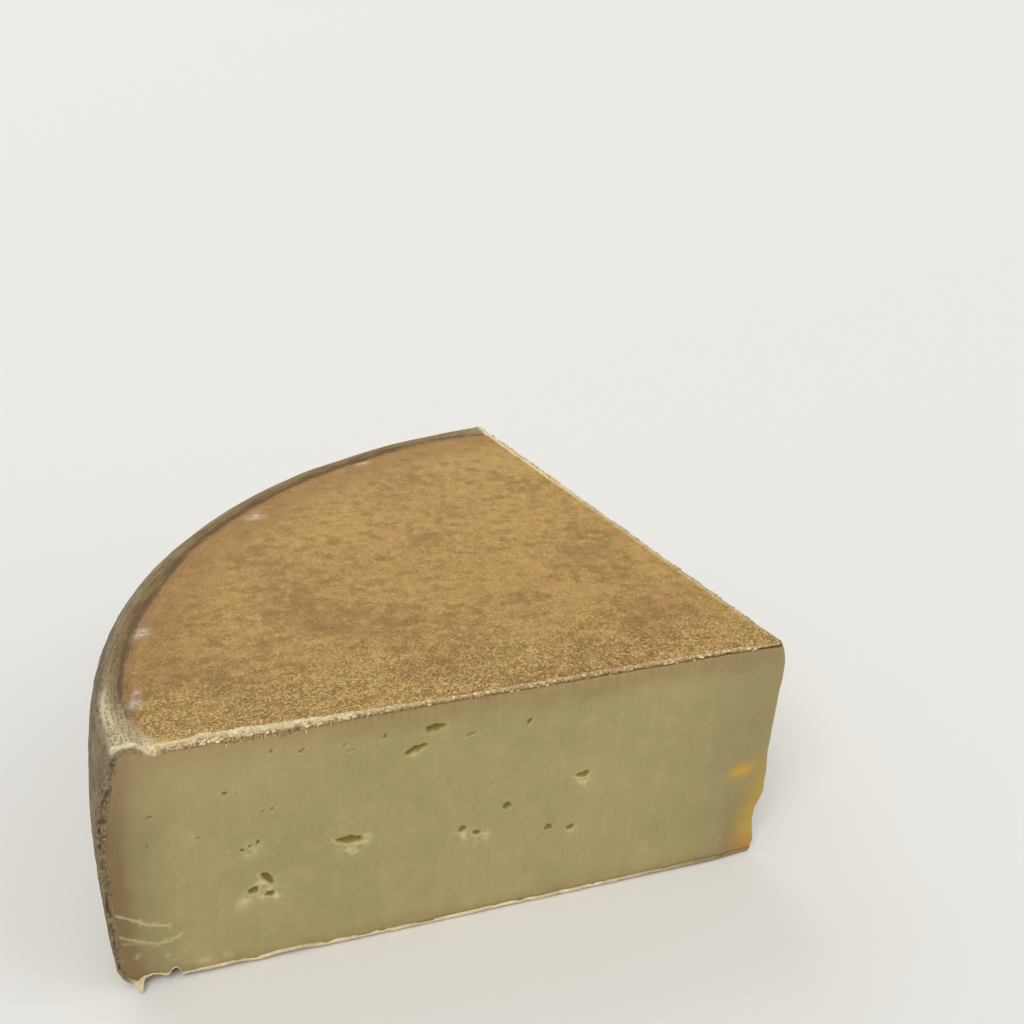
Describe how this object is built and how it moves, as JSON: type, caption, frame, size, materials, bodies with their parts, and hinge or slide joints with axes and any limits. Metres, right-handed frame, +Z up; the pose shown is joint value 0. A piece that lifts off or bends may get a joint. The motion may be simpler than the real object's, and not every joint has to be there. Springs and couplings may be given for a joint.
{
  "type": "vacherin fribourgeois quarter wheel",
  "caption": "Sector cut from a washed-rind semi-hard cheese wheel, with knife-cut faces showing small eyes, a sandy brown rind and a gently bulging side.",
  "frame": {"origin": "middle of the bounding box, at the base that the piece rests on", "axes": "+Z up along the wheel's own axis; the front cut face lies along X and faces -Y, with the thin tip at +X and the rind at -X; the second cut face runs from the tip towards +Y"},
  "size_m": [0.1874, 0.1866, 0.07],
  "materials": {
    "paste": "satin",
    "rind": "matte"
  },
  "bodies": {
    "root": {"cheese_piece": "paste"}
  },
  "joints": []
}
